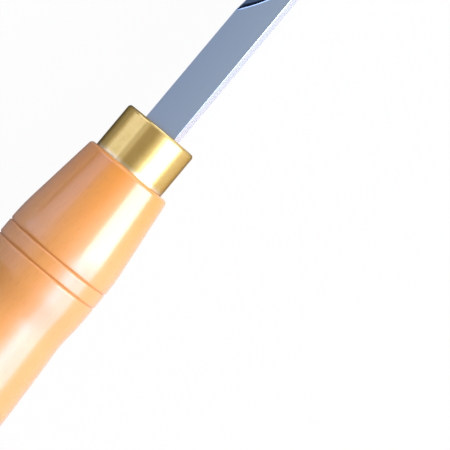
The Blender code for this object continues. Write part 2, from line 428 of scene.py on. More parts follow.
@dataclass(frozen=True)
class LacqueredBeech:
    """Steamed beech, turned smooth and lacquered to a clear gloss.

    It gives the eye a warm orange tan, deeper towards the ferrule, with faint growth bands, fine fibres and
    short ray flecks along the handle, all under a smooth coat that mirrors the lamps. The cut rings are
    darker.
    """

    deep: str = "#F8992A"
    pale: str = "#F8A34D"
    grade_mm: Point = (-16.0, -39.0)    # from deep to pale between these, along the handle
    band: str = "#FCF7F2"           # what the growth bands leave of that colour
    band_mm: float = 3.4            # spacing of the growth bands
    band_slant: float = 0.04        # how fast the bands change along the handle, against across it
    pith_mm: Point = (38.0, -52.0)  # the tree's heart lies outside the handle, to its left and below
    fibre_length_mm: float = 16.0
    fibre_width_mm: float = 0.45
    fleck: str = "#DD8C3C"
    fleck_share: float = 0.25       # of that colour in the middle of a fleck
    fleck_span: Point = (0.60, 0.74)    # values of the noise at which a fleck starts and is full
    fleck_length_mm: float = 2.6
    fleck_width_mm: float = 0.42
    ring_shade: str = "#A8794C"
    ring_share: float = 0.25        # of that colour in the bottom of a cut ring
    ring_span_mm: Point = (0.10, 0.45)  # the shade is full this near to the bottom, and ends this far away
    peel_mm: float = 2.2            # spacing of the lacquer's slight ripple
    peel_height: float = 0.00001
    peel_strength: float = 0.5
    wood_gloss: float = 0.38
    coat_gloss: float = 0.20
    wood_ior: float = 1.50
    lacquer_ior: float = 1.72

    def make(self, axis: ToolAxis, ring_places: list[float]) -> Material:
        """Make the finish.

        Args:
            axis: the tool's axis, which the grain follows.
            ring_places: x of each cut ring's bottom.

        Returns:
            The material.
        """
        material, tree, shader = start_material("lacquered_beech_wood")
        place = axis.millimetres(tree)
        colour = add_node(tree, "ShaderNodeMix", {
            MIX_SHARE: self._ring_shade(tree, place, ring_places),
            MIX_FROM: self._grain(tree, place), MIX_TO: linear(self.ring_shade),
        }, data_type="RGBA")
        ripple = add_node(tree, "ShaderNodeTexNoise", {
            "Vector": place, "Scale": 1.0 / self.peel_mm, "Detail": 1.0,
        })
        peel = add_node(tree, "ShaderNodeBump", {
            "Height": ripple.outputs["Fac"], "Distance": self.peel_height, "Strength": self.peel_strength,
        })
        tree.links.new(colour.outputs[MIX_COLOUR], shader.inputs["Base Color"])
        tree.links.new(peel.outputs["Normal"], shader.inputs["Coat Normal"])
        shader.inputs["Roughness"].default_value = self.wood_gloss
        shader.inputs["IOR"].default_value = self.wood_ior
        shader.inputs["Coat Weight"].default_value = 1.0
        shader.inputs["Coat Roughness"].default_value = self.coat_gloss
        shader.inputs["Coat IOR"].default_value = self.lacquer_ior
        return material

    def _grain(self, tree: Tree, place: Socket) -> Socket:
        """Add the wood's colour with its growth bands, fibres and ray flecks.

        Args:
            tree: the finish's node tree.
            place: the place on the tool in millimetres.

        Returns:
            The colour output.
        """
        from_pith = add_node(tree, "ShaderNodeMapping", {
            "Vector": place, "Location": (0.0, -self.pith_mm[0], -self.pith_mm[1]),
            "Scale": (self.band_slant, 1.0, 1.0),
        })
        bands = add_node(tree, "ShaderNodeTexWave", {
            "Vector": from_pith.outputs["Vector"],
            "Scale": 2.0 * math.pi / (WAVE_TURN * self.band_mm),
            "Distortion": 2.2, "Detail": 2.0, "Detail Scale": 0.35,
        }, wave_type="RINGS", rings_direction="X", wave_profile="SAW")
        fibre_space = add_node(tree, "ShaderNodeMapping", {
            "Vector": place, "Scale": stretch(self.fibre_length_mm, self.fibre_width_mm),
        })
        fibres = add_node(tree, "ShaderNodeTexNoise", {
            "Vector": fibre_space.outputs["Vector"], "Scale": 1.0, "Detail": 3.0, "Roughness": 0.55,
        })
        fleck_space = add_node(tree, "ShaderNodeMapping", {
            "Vector": place, "Scale": stretch(self.fleck_length_mm, self.fleck_width_mm),
        })
        flecks = add_node(tree, "ShaderNodeTexNoise", {
            "Vector": fleck_space.outputs["Vector"], "Scale": 1.0, "Detail": 0.0,
        })
        banding = add_node(tree, "ShaderNodeMath", {
            0: bands.outputs["Fac"], 1: fibres.outputs["Fac"],
        }, operation="MULTIPLY")
        grade = add_node(tree, "ShaderNodeMapRange", {
            "Value": add_node(tree, "ShaderNodeSeparateXYZ", {"Vector": place}).outputs["X"],
            "From Min": self.grade_mm[0], "From Max": self.grade_mm[1],
        })
        plain = add_node(tree, "ShaderNodeMix", {
            MIX_SHARE: grade.outputs["Result"], MIX_FROM: linear(self.deep), MIX_TO: linear(self.pale),
        }, data_type="RGBA")
        banded = add_node(tree, "ShaderNodeMix", {
            MIX_SHARE: banding.outputs["Value"],
            MIX_FROM: plain.outputs[MIX_COLOUR], MIX_TO: linear(self.band),
        }, data_type="RGBA", blend_type="MULTIPLY")
        fleck_share = add_node(tree, "ShaderNodeMapRange", {
            "Value": flecks.outputs["Fac"], "From Min": self.fleck_span[0], "From Max": self.fleck_span[1],
            "To Max": self.fleck_share,
        }, interpolation_type="SMOOTHSTEP")
        flecked = add_node(tree, "ShaderNodeMix", {
            MIX_SHARE: fleck_share.outputs["Result"],
            MIX_FROM: banded.outputs[MIX_COLOUR], MIX_TO: linear(self.fleck),
        }, data_type="RGBA")
        return flecked.outputs[MIX_COLOUR]

    def _ring_shade(self, tree: Tree, place: Socket, ring_places: list[float]) -> Socket:
        """Add the darkening in the cut rings.

        Args:
            tree: the finish's node tree.
            place: the place on the tool in millimetres.
            ring_places: x of each cut ring's bottom.

        Returns:
            The share of the darker colour.
        """
        along = add_node(tree, "ShaderNodeSeparateXYZ", {"Vector": place}).outputs["X"]
        nearest = None
        for ring_x in ring_places:
            away = add_node(tree, "ShaderNodeMath", {
                0: along, 1: ring_x / MILLIMETRE,
            }, operation="SUBTRACT")
            gap = add_node(tree, "ShaderNodeMath", {0: away.outputs["Value"]}, operation="ABSOLUTE")
            if nearest is not None:
                gap = add_node(tree, "ShaderNodeMath", {
                    0: gap.outputs["Value"], 1: nearest,
                }, operation="MINIMUM")
            nearest = gap.outputs["Value"]
        shade = add_node(tree, "ShaderNodeMapRange", {
            "Value": nearest, "From Min": self.ring_span_mm[0], "From Max": self.ring_span_mm[1],
            "To Min": self.ring_share, "To Max": 0.0,
        }, interpolation_type="SMOOTHSTEP")
        return shade.outputs["Result"]


@dataclass(frozen=True)
class WhitePaper:
    """Seamless studio paper: matt, with the faintest mottle, and graded from white to grey.

    The white is on the tool's right and the grey on its left, as painted shade on the side away from the
    softbox. The camera sees the paper almost evenly white, and so do mirrors that are far enough away;
    nearer ones see it as it is lit, with that painted shade.
    """

    white: str = "#F1EEEA"
    grey: str = "#B2B2B2"
    grade_mm: Point = (-10.0, 20.0)     # painted shade: from white to grey between these, across the tool
    mottle: float = 0.97                # the mottle's darkest share of the paper's colour
    mottle_mm: float = 12.0
    gloss: float = 0.9                  # roughness
    mirror_mm: Point = (150.0, 500.0)   # how far off a mirror starts to see plain white, and sees only that
    shadow_mm: Point = (20.0, 110.0)    # how far from the tool's axis the shadow starts to fade, and ends
    evenness: float = 0.965             # share of plain white in the shadow's place

    def make(self) -> Material:
        """Make the finish.

        Returns:
            The material.
        """
        material, tree, shader = start_material("white_studio_paper")
        place = add_node(tree, "ShaderNodeTexCoord").outputs["Object"]
        across = add_node(tree, "ShaderNodeSeparateXYZ", {"Vector": place}).outputs["Y"]
        mottle = add_node(tree, "ShaderNodeTexNoise", {
            "Vector": place, "Scale": 1.0 / (self.mottle_mm * MILLIMETRE), "Detail": 2.0,
        })
        level = add_node(tree, "ShaderNodeMapRange", {"Value": mottle.outputs["Fac"], "To Min": self.mottle})
        # Painted shade: the paper turns grey on the tool's left.
        grade = add_node(tree, "ShaderNodeMapRange", {
            "Value": across,
            "From Min": self.grade_mm[0] * MILLIMETRE, "From Max": self.grade_mm[1] * MILLIMETRE,
        }, interpolation_type="SMOOTHSTEP")
        graded = add_node(tree, "ShaderNodeMix", {
            MIX_SHARE: grade.outputs["Result"], MIX_FROM: linear(self.white), MIX_TO: linear(self.grey),
        }, data_type="RGBA")
        colour = add_node(tree, "ShaderNodeVectorMath", {
            0: graded.outputs[MIX_COLOUR], "Scale": level.outputs["Result"],
        }, operation="SCALE")
        tree.links.new(colour.outputs["Vector"], shader.inputs["Base Color"])
        shader.inputs["Roughness"].default_value = self.gloss
        plain = add_node(tree, "ShaderNodeEmission", {"Color": linear(WHITE), "Strength": 1.0})
        mixed = add_node(tree, "ShaderNodeMixShader", {
            0: self._plain_share(tree, across), 1: shader.outputs["BSDF"], 2: plain.outputs["Emission"],
        })
        tree.links.new(mixed.outputs["Shader"], tree.nodes["Material Output"].inputs["Surface"])
        return material

    def _plain_share(self, tree: Tree, across: Socket) -> Socket:
        """Add the share of plain white that the camera and the mirrors see.

        Args:
            tree: the finish's node tree.
            across: the place across the tool, in metres.

        Returns:
            The share.
        """
        path = add_node(tree, "ShaderNodeLightPath")
        share = path.outputs["Is Camera Ray"]
        for ray in ("Is Glossy Ray", "Is Transmission Ray"):
            share = add_node(tree, "ShaderNodeMath", {
                0: share, 1: path.outputs[ray],
            }, operation="MAXIMUM").outputs["Value"]
        aside = add_node(tree, "ShaderNodeMath", {0: across}, operation="ABSOLUTE")
        for distance, ends, least in (
            (path.outputs["Ray Length"], self.mirror_mm, 0.0),
            (aside.outputs["Value"], self.shadow_mm, self.evenness),
        ):
            evenness = add_node(tree, "ShaderNodeMapRange", {
                "Value": distance, "From Min": ends[0] * MILLIMETRE, "From Max": ends[1] * MILLIMETRE,
                "To Min": least,
            }, interpolation_type="SMOOTHSTEP")
            share = add_node(tree, "ShaderNodeMath", {
                0: share, 1: evenness.outputs["Result"],
            }, operation="MULTIPLY").outputs["Value"]
        return share


def eased(share: float, run: float, ends: Point, slopes: Point) -> float:
    """A cubic between two values with given slopes.

    Args:
        share: how far along it, from 0 to 1.
        run: its length.
        ends: the first and the last value.
        slopes: its slope at both ends.

    Returns:
        The value there.
    """
    rise = 3.0 * share**2 - 2.0 * share**3
    lead = (share**3 - 2.0 * share**2 + share) * slopes[0]
    trail = (share**3 - share**2) * slopes[1]
    return ends[0] * (1.0 - rise) + ends[1] * rise + run * (lead + trail)


class Outline:
    """Half outline of a turned piece: points (x, r) that run from one to the next."""

    def __init__(self, x: float, r: float) -> None:
        """Start at a point."""
        self.points: list[Point] = [(x, r)]

    @property
    def end(self) -> Point:
        """The last point."""
        return self.points[-1]

    def line(self, x: float, r: float, steps: int = 1) -> None:
        """Go straight to a point.

        Args:
            x: its place along the axis.
            r: its distance from the axis.
            steps: how many equal runs the line has.
        """
        start_x, start_r = self.end
        for step in range(1, steps + 1):
            share = step / steps
            self.points.append((start_x + (x - start_x) * share, start_r + (r - start_r) * share))

    def arc(self, centre: Point, radii: Point, start: float, sweep: float, steps: int) -> None:
        """Follow an elliptic arc.

        Args:
            centre: its centre.
            radii: its radius along x and along r.
            start: its first angle, 0 along +x and 90 along +r.
            sweep: how far it goes on from there.
            steps: how many straight runs it has.
        """
        for step in range(steps + 1):
            angle = math.radians(start + sweep * step / steps)
            self.points.append((
                centre[0] + radii[0] * math.cos(angle),
                centre[1] + radii[1] * math.sin(angle),
            ))

    def ease(self, x: float, r: float, start_slope: float, end_slope: float) -> None:
        """Follow a smooth curve to a point.

        Args:
            x: its place along the axis.
            r: its distance from the axis.
            start_slope: the curve's slope where it starts.
            end_slope: the curve's slope at the point.
        """
        start_x, start_r = self.end
        for step in range(1, CURVE_STEPS + 1):
            share = step / CURVE_STEPS
            self.points.append((
                start_x + (x - start_x) * share,
                eased(share, x - start_x, (start_r, r), (start_slope, end_slope)),
            ))

    def cut_ring(self, width: float, depth: float) -> None:
        """Cut a ring towards -x: rounded lips that fall to a narrow bottom.

        Args:
            width: from lip to lip.
            depth: of its bottom.
        """
        start_x, start_r = self.end
        for step in range(1, CURVE_STEPS + 1):
            share = step / CURVE_STEPS
            from_lip = 1.0 - abs(2.0 * share - 1.0)
            self.points.append((start_x - width * share, start_r - depth * from_lip**RING_SHARPNESS))


def turn(outline: Outline, closed: bool) -> Builder:
    """Spin a half outline about the tool's axis.

    Args:
        outline: the half outline.
        closed: whether its last point joins its first, as round a tube's wall.

    Returns:
        A closed body, with its faces outwards.
    """
    builder = bmesh.new()
    verts = [builder.verts.new((x, 0.0, r * FACET_INSET)) for x, r in outline.points]
    pairs = list(zip(verts, verts[1:]))
    if closed:
        pairs.append((verts[-1], verts[0]))
    edges = [builder.edges.new(pair) for pair in pairs]
    bmesh.ops.spin(
        builder, geom=verts + edges, cent=(0.0, 0.0, 0.0), axis=(1.0, 0.0, 0.0), dvec=(0.0, 0.0, 0.0),
        angle=2.0 * math.pi, steps=TURNED_STEPS, use_merge=True, use_duplicate=False,
    )
    bmesh.ops.remove_doubles(builder, verts=builder.verts, dist=MERGE_DISTANCE)
    bmesh.ops.recalc_face_normals(builder, faces=builder.faces)
    return builder


def lay_in_frame(name: str, builder: Builder, axis: ToolAxis, crease: float) -> Piece:
    """Make a piece of a bmesh that stands on the tool's axis.

    Args:
        name: the piece's name.
        builder: its bmesh, which is freed.
        axis: the tool's axis.
        crease: edges that turn by more than this angle stay sharp.

    Returns:
        The piece, at the origin with its place in its mesh.
    """
    builder.transform(axis.matrix)
    mesh = bpy.data.meshes.new(name)
    builder.to_mesh(mesh)
    builder.free()
    mesh.shade_smooth()
    mesh.set_sharp_from_angle(angle=math.radians(crease))
    return add_object(name, mesh)


def seat(piece: Piece, node: str) -> None:
    """Let a piece stand for its CAD node.

    Args:
        piece: the finished piece.
        node: the CAD node it replaces.
    """
    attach(piece, BODY)
    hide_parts(node)


class SteelFace(Enum):
    """Which steel a face of the blade shows, by its place in the list of finishes."""

    GROUND = 0
    MILLED = 1
    LAPPED = 2


class EdgeBreak(Enum):
    """How far an edge of the blade is taken down, as a share of an eased edge's width."""

    KEEN = 0.0
    EASED = 1.0


@dataclass
class Blade:
    """Square steel bar with an L-shaped cutting end, two inside bevels and a tapered tang."""

    bar_width: float = 0.0100
    shank_reach: float = 0.0376     # ferrule rim to the point where the channel enters the bar's corner
    channel_runout: float = 0.0150  # length in which the channel comes down to its full depth
    runout_slope: float = 0.74      # how steeply it starts
    channel_length: float = 0.0575  # full depth, as far as the inside bevels
    channel_fillet: float = 0.0008
    fillet_steps: int = 8
    shade_run: float = 0.0005       # painted shade lies on this run beside the fillet
    shade_fade: float = 0.0004      # and fades out on this one
    wing_thickness: float = 0.0030
    bevel_angle: float = 30.0
    edge_land: float = 0.0002       # thickness left at the cutting edges
    keen_fillet: float = 0.0001     # what is left of the channel's fillet at the cutting corner
    spigot_recess: float = 0.0010   # ferrule rim to the wood that the bar's shoulder bears on
    tang_ledge: float = 0.0015
    tang_taper: float = 0.0012
    tang_length: float = 0.0600
    file_flat: Point = (0.00034, 0.00019)   # left by the file on the channel's rim, along its face and down
    eased_width: float = 0.00015    # of the other broken edges
    eased_steps: int = 1
    sharp_turn: float = 65.0        # an edge is broken where its faces turn by more than this
    crease: float = 25.0            # an edge stays sharp to the eye where its faces turn by more than this

    @property
    def channel_depth(self) -> float:
        """How deep the channel is cut into both faces of the bar."""
        return self.bar_width - self.wing_thickness

    @property
    def bevel_start(self) -> float:
        """Where the inside bevels begin."""
        return self.shank_reach + self.channel_runout + self.channel_length

    @property
    def reach(self) -> float:
        """From the ferrule's rim to the cutting edges."""
        bevel_length = (self.wing_thickness - self.edge_land) / math.tan(math.radians(self.bevel_angle))
        return self.bevel_start + bevel_length

    @property
    def shoulder_x(self) -> float:
        """Where the bar ends and the tang begins."""
        return CLEARANCE - self.spigot_recess

    def section(self, x: float, width: float, depth: float = 0.0, fillet: float = 0.0) -> list[Vector]:
        """Points round the bar at x, from its heel corner; without a channel several fall together.

        Args:
            x: the place along the axis.
            width: width of the square.
            depth: how deep the channel is there.
            fillet: radius in the channel's inside corner.

        Returns:
            The ring of points.
        """
        half = width / 2.0
        inner = half - depth
        full_run, full_drop = self.file_flat
        # The file's flat takes at most half of the channel's depth and half of the land beside it.
        share = min(1.0, depth / (2.0 * full_drop), (width - depth) / (2.0 * full_run))
        run = full_run * share
        rim = half - full_drop * share
        shade_edge = min(rim, inner + fillet + self.shade_run)
        shade_end = min(rim, shade_edge + self.shade_fade)
        points = [
            (-half, -half), (half, -half), (half, inner - run),
            (rim, inner), (shade_end, inner), (shade_edge, inner),
        ]
        for step in range(self.fillet_steps + 1):
            angle = math.pi / 2.0 * step / self.fillet_steps
            points.append((
                inner + fillet * (1.0 - math.sin(angle)),
                inner + fillet * (1.0 - math.cos(angle)),
            ))
        points += [
            (inner, shade_edge), (inner, shade_end), (inner, rim),
            (inner - run, half), (-half, half),
        ]
        return [Vector((x, left, up)) for left, up in points]

    def sections(self) -> list[list[Vector]]:
        """Lay out every section from the cutting edges to the end of the tang.

        Returns:
            The rings of points.
        """
        full_x = self.shank_reach + self.channel_runout
        depth = self.channel_depth
        width = self.bar_width
        rings = [
            self.section(self.reach, width, width - self.edge_land, self.keen_fillet),
            self.section(self.bevel_start, width, depth, self.channel_fillet),
        ]
        for step in range(CURVE_STEPS, -1, -1):
            share = step / CURVE_STEPS
            here = eased(share, self.channel_runout, (0.0, depth), (self.runout_slope, 0.0))
            x = full_x - self.channel_runout * (1.0 - share)
            rings.append(self.section(x, width, here, min(here, self.channel_fillet)))
        tang = width - 2.0 * self.tang_ledge
        tang_end = tang - 2.0 * self.tang_taper
        rings.append(self.section(self.shoulder_x, width))
        rings.append(self.section(self.shoulder_x, tang))
        rings.append(self.section(self.shoulder_x - self.tang_length, tang_end))
        return rings

    def build(self, axis: ToolAxis) -> Piece:
        """Build the blade's mesh: a ring of vertices, extruded from section to section.

        Args:
            axis: the tool's axis.

        Returns:
            The piece, still bare.
        """
        first, *others = self.sections()
        builder = bmesh.new()
        place = builder.verts.layers.int.new("place")
        ring = []
        for number, point in enumerate(first):
            vert = builder.verts.new(point)
            vert[place] = number
            ring.append(vert)
        rim = [builder.edges.new((ring[number - 1], vert)) for number, vert in enumerate(ring)]
        for points in others:
            grown = bmesh.ops.extrude_edge_only(builder, edges=rim)["geom"]
            verts = {item for item in grown if isinstance(item, bmesh.types.BMVert)}
            for vert in verts:
                vert.co = points[vert[place]]
            rim = [
                item for item in grown
                if isinstance(item, bmesh.types.BMEdge) and all(end in verts for end in item.verts)
            ]
        bmesh.ops.remove_doubles(builder, verts=builder.verts, dist=MERGE_DISTANCE)
        bmesh.ops.dissolve_degenerate(builder, edges=builder.edges, dist=MERGE_DISTANCE)
        bmesh.ops.holes_fill(builder, edges=builder.edges, sides=0)
        bmesh.ops.recalc_face_normals(builder, faces=builder.faces)
        self._mark_corner(builder, place)
        self._sort_faces(builder)
        self._weigh_edges(builder)
        piece = lay_in_frame("corner_blade", builder, axis, self.crease)
        self._break_edges(piece)
        return piece

    def _mark_corner(self, builder: Builder, place: bmesh.types.BMLayerItem) -> None:
        """Mark the vertices in the channel's inside corner, where the painted shade goes.

        Args:
            builder: the blade's bmesh.
            place: the layer with each vertex's place in its section, which is removed.
        """
        corner_shade = builder.verts.layers.float.new(PAINTED_CORNER_SHADE)
        last_point = SHADE_POINT + self.fillet_steps + 2    # the same point on the channel's other wall
        for vert in builder.verts:
            in_corner = SHADE_POINT <= vert[place] <= last_point
            in_channel = self.shank_reach < vert.co.x < self.reach - MERGE_DISTANCE
            vert[corner_shade] = 1.0 if in_corner and in_channel else 0.0
        builder.verts.layers.int.remove(place)

    def _sort_faces(self, builder: Builder) -> None:
        """Mark the channel's faces as milled, the two working faces as lapped and all others as ground.

        Args:
            builder: the blade's bmesh.
        """
        wall = self.bar_width / 2.0 - MERGE_DISTANCE
        milled_top = self.bar_width / 2.0 - self.file_flat[1]
        for face in builder.faces:
            middle = face.calc_center_median()
            inside = min(middle.y, middle.z) > -wall and max(middle.y, middle.z) < milled_top
            kind = SteelFace.GROUND
            if inside and self.shank_reach < middle.x < self.bevel_start:
                kind = SteelFace.MILLED
            elif min(middle.y, middle.z) < -wall:
                kind = SteelFace.LAPPED
            face.material_index = kind.value

    def _weigh_edges(self, builder: Builder) -> None:
        """Say how far each edge is taken down.

        Args:
            builder: the blade's bmesh.
        """
        weight = builder.edges.layers.float.new("bevel_weight_edge")
        for edge in builder.edges:
            edge[weight] = self._edge_break(edge).value

    def _edge_break(self, edge: bmesh.types.BMEdge) -> EdgeBreak:
        """Choose how an edge is broken: cutting edges and the working corner stay keen.

        Args:
            edge: an edge of the blade.

        Returns:
            Its kind.
        """
        if edge.calc_face_angle_signed(0.0) < math.radians(self.sharp_turn):
            return EdgeBreak.KEEN
        corner = MERGE_DISTANCE - self.bar_width / 2.0
        at_tip = all(end.co.x > self.bevel_start - MERGE_DISTANCE for end in edge.verts)
        working_corner = all(max(end.co.y, end.co.z) < corner for end in edge.verts)
        return EdgeBreak.KEEN if at_tip or working_corner else EdgeBreak.EASED

    def _break_edges(self, piece: Piece) -> None:
        """Take the weighed edges down and keep the broad faces flat to the eye.

        Args:
            piece: the blade.
        """
        broken = piece.modifiers.new("broken_edges", "BEVEL")
        broken.limit_method = "WEIGHT"
        broken.width = self.eased_width
        broken.segments = self.eased_steps
        broken.profile = 0.5
        broken.material = SteelFace.GROUND.value
        flat = piece.modifiers.new("flat_faces", "WEIGHTED_NORMAL")
        flat.keep_sharp = True

    def dress(
        self, piece: Piece, finishes: dict[SteelFace, GroundSteel | MilledSteel], axis: ToolAxis,
    ) -> None:
        """Give the piece its steels.

        Args:
            piece: the blade.
            finishes: the finish of each kind of face.
            axis: the tool's axis.
        """
        for face in SteelFace:
            piece.data.materials.append(finishes[face].make(axis))
        seat(piece, "blade")


@dataclass
class Ferrule:
    """Brass tube with a rounded front rim, pressed on the handle's spigot up to the shoulder."""

    bore_radius: float = 0.0100711  # clears the corners of the bar by 3 mm
    wall: float = 0.0012
    length: float = 0.0141
    rim_round: Point = (0.0010, 0.0008)     # along the tube and in its wall
    foot_round: float = 0.0001
    crease: float = 40.0            # an edge stays sharp to the eye where its faces turn by more than this

    @property
    def radius(self) -> float:
        """Outer radius."""
        return self.bore_radius + self.wall

    def build(self, axis: ToolAxis) -> Piece:
        """Turn the tube's wall.

        Args:
            axis: the tool's axis.

        Returns:
            The piece, still bare.
        """
        rim_run, rim_drop = self.rim_round
        foot_x = self.foot_round - self.length
        outline = Outline(0.0, self.bore_radius)
        outline.arc((-rim_run, self.radius - rim_drop), self.rim_round, 0.0, 90.0, 2 * ROUND_STEPS)
        outline.line(foot_x, self.radius, CURVE_STEPS)
        outline.arc(
            (foot_x, self.radius - self.foot_round), (self.foot_round, self.foot_round),
            90.0, 90.0, ROUND_STEPS,
        )
        outline.line(-self.length, self.bore_radius)
        return lay_in_frame("brass_ferrule", turn(outline, closed=True), axis, self.crease)

    def dress(self, piece: Piece, finish: PolishedBrass, axis: ToolAxis) -> None:
        """Give the piece its brass."""
        piece.data.materials.append(finish.make(axis, -self.length))
        seat(piece, "ferrule")


@dataclass
class Handle:
    """Turned beech handle. Each length runs on from the one before it, from the spigot to the butt."""

    blade: Blade
    ferrule: Ferrule
    bore_gap: float = 0.00035       # round the tang's corners, in the drilled hole
    bore_point: float = 0.0030      # the drill's point
    spigot_chamfer: float = 0.0005
    shoulder_step: float = 0.00215  # the wood stands proud of the ferrule
    shoulder_round: float = 0.0012
    shoulder_start: float = 10.0    # the rounding starts at an edge, this far round from the axis
    taper_run: float = 0.0200
    crown_run: float = 0.0085       # the taper rounds over into the front swell
    crown_rise: float = 0.0006
    front_swell: float = 0.01656    # radius
    ring_width: float = 0.0010
    ring_depth: float = 0.00045
    band_width: float = 0.0037      # plain band between the two cut rings
    rear_band_run: float = 0.0044
    waist_run: float = 0.0086
    waist: float = 0.0161           # radius
    cove_run: float = 0.0070
    cove_rise: float = 0.0004
    grip_run: float = 0.0430
    grip_fullness: float = 1.3      # how much steeper than its chord the grip starts
    palm: float = 0.01859           # radius
    palm_to_butt: float = 0.03099
    butt_flat: float = 0.0050       # radius
    off_centre: float = 0.00032     # the wood stands this far to the right of the ferrule's axis
    true_run: Point = (-0.070, -0.100)  # and comes back to that axis between these places
    crease: float = 50.0            # an edge stays sharp to the eye where its faces turn by more than this

    @property
    def taper_end(self) -> float:
        """Where the straight taper starts to round over."""
        return -self.ferrule.length - self.shoulder_round - self.taper_run

    @property
    def ring_places(self) -> list[float]:
        """x of the bottom of each cut ring."""
        front = self.taper_end - self.crown_run - self.ring_width / 2.0
        return [front, front - self.ring_width - self.band_width]

    def outline(self) -> Outline:
        """Draw the half outline from the bottom of the tang's hole, out and round to the butt.

        Returns:
            The half outline.
        """
        blade = self.blade
        spigot = self.ferrule.bore_radius - CLEARANCE
        bore = (blade.bar_width / 2.0 - blade.tang_ledge) * math.sqrt(2.0) + self.bore_gap
        bore_end = blade.shoulder_x - blade.tang_length - CLEARANCE
        shoulder_x = -self.ferrule.length
        shoulder = self.ferrule.radius + self.shoulder_step

        half = Outline(bore_end - self.bore_point, 0.0)
        half.line(bore_end, bore)
        half.line(-blade.spigot_recess, bore)
        half.line(-blade.spigot_recess, spigot - self.spigot_chamfer)
        half.line(-blade.spigot_recess - self.spigot_chamfer, spigot)
        half.line(shoulder_x, spigot)
        round_x = shoulder_x - self.shoulder_round * math.cos(math.radians(self.shoulder_start))
        half.arc(
            (round_x, shoulder - self.shoulder_round), (self.shoulder_round, self.shoulder_round),
            self.shoulder_start, 90.0 - self.shoulder_start, ROUND_STEPS,
        )
        crown = self.front_swell - self.crown_rise
        taper_slope = (shoulder - crown) / self.taper_run
        half.line(self.taper_end, crown, CURVE_STEPS)
        half.ease(self.taper_end - self.crown_run, self.front_swell, taper_slope, 0.0)

        for plain_run in (self.band_width, self.rear_band_run):
            half.cut_ring(self.ring_width, self.ring_depth)
            half.line(half.end[0] - plain_run, self.front_swell, ROUND_STEPS)

        grip_start = self.waist + self.cove_rise
        grip_slope = self.grip_fullness * (grip_start - self.palm) / self.grip_run
        half.ease(half.end[0] - self.waist_run, self.waist, 0.0, 0.0)
        half.ease(half.end[0] - self.cove_run, grip_start, 0.0, grip_slope)
        half.ease(half.end[0] - self.grip_run, self.palm, grip_slope, 0.0)
        half.arc(
            (half.end[0], self.butt_flat), (self.palm_to_butt, self.palm - self.butt_flat),
            90.0, 90.0, CURVE_STEPS,
        )
        half.line(half.end[0], 0.0)
        return half

    def build(self, axis: ToolAxis) -> Piece:
        """Turn the handle.

        Args:
            axis: the tool's axis.

        Returns:
            The piece, still bare.
        """
        builder = turn(self.outline(), closed=False)
        self._set_off_centre(builder)
        return lay_in_frame("beech_handle", builder, axis, self.crease)

    def _set_off_centre(self, builder: Builder) -> None:
        """Move the wood behind the ferrule to the right, but not its spigot and its bore.

        Args:
            builder: the handle's bmesh.
        """
        start, end = self.true_run
        for vert in builder.verts:
            if math.hypot(vert.co.y, vert.co.z) > self.ferrule.bore_radius:
                share = min(max((vert.co.x - end) / (start - end), 0.0), 1.0)
                vert.co.y -= eased(share, 1.0, (0.0, self.off_centre), (0.0, 0.0))

    def dress(self, piece: Piece, finish: LacqueredBeech, axis: ToolAxis) -> None:
        """Give the piece its lacquered wood."""
        piece.data.materials.append(finish.make(axis, self.ring_places))
        seat(piece, "handle")


@dataclass(frozen=True)
class PictureCamera:
    """Camera almost straight above the tool, leaning over its right side.

    The picture's size is 450 by 450 pixels.
    """

    picture_pixels: float = 450.0
    pixels_per_metre: float = 3690.0    # at the depth of the tool's axis
    distance: float = 0.80
    axis_rise: float = 50.09            # the axis rises this far above the picture's level
    lean: float = 6.4                   # over the tool's right side
    centre_along: float = -0.0087       # the picture's centre from the ferrule's rim, along the axis
    centre_across: float = 0.02955      # and to the tool's right
    sensor_mm: float = 36.0

    def toward(self, axis: ToolAxis) -> Vector:
        """Direction from the tool to the camera."""
        lean = math.radians(self.lean)
        return axis.direction(0.0, -math.sin(lean), math.cos(lean))

    def across(self, axis: ToolAxis) -> Vector:
        """Direction across the tool to its right, square to the view."""
        lean = math.radians(self.lean)
        return axis.direction(0.0, -math.cos(lean), -math.sin(lean))

    def around(self, axis: ToolAxis, swing: float, lean: float) -> Vector:
        """Direction from the tool, as the camera sees it.

        Args:
            axis: the tool's axis.
            swing: angle round the axis from the camera's side, to the tool's right.
            lean: angle towards the tip.

        Returns:
            The direction, of length 1.
        """
        turned = math.radians(swing)
        tipped = math.radians(lean)
        square = self.toward(axis) * math.cos(turned) + self.across(axis) * math.sin(turned)
        return square * math.cos(tipped) + axis.forward * math.sin(tipped)

    def place(self, axis: ToolAxis) -> None:
        """Add the camera and make it the scene's.

        Args:
            axis: the tool's axis.
        """
        rise = math.radians(self.axis_rise)
        along = axis.forward
        across = self.across(axis)
        toward = self.toward(axis)
        right = along * math.cos(rise) + across * math.sin(rise)
        up = along * math.sin(rise) - across * math.cos(rise)
        centre = axis.origin + along * self.centre_along + across * self.centre_across
        lens = bpy.data.cameras.new("picture_camera")
        lens.sensor_width = self.sensor_mm
        lens.lens = self.sensor_mm * self.distance * self.pixels_per_metre / self.picture_pixels
        camera = add_object("picture_camera", lens)
        aim(camera, centre + toward * self.distance, right, up, toward)
        bpy.context.scene.camera = camera


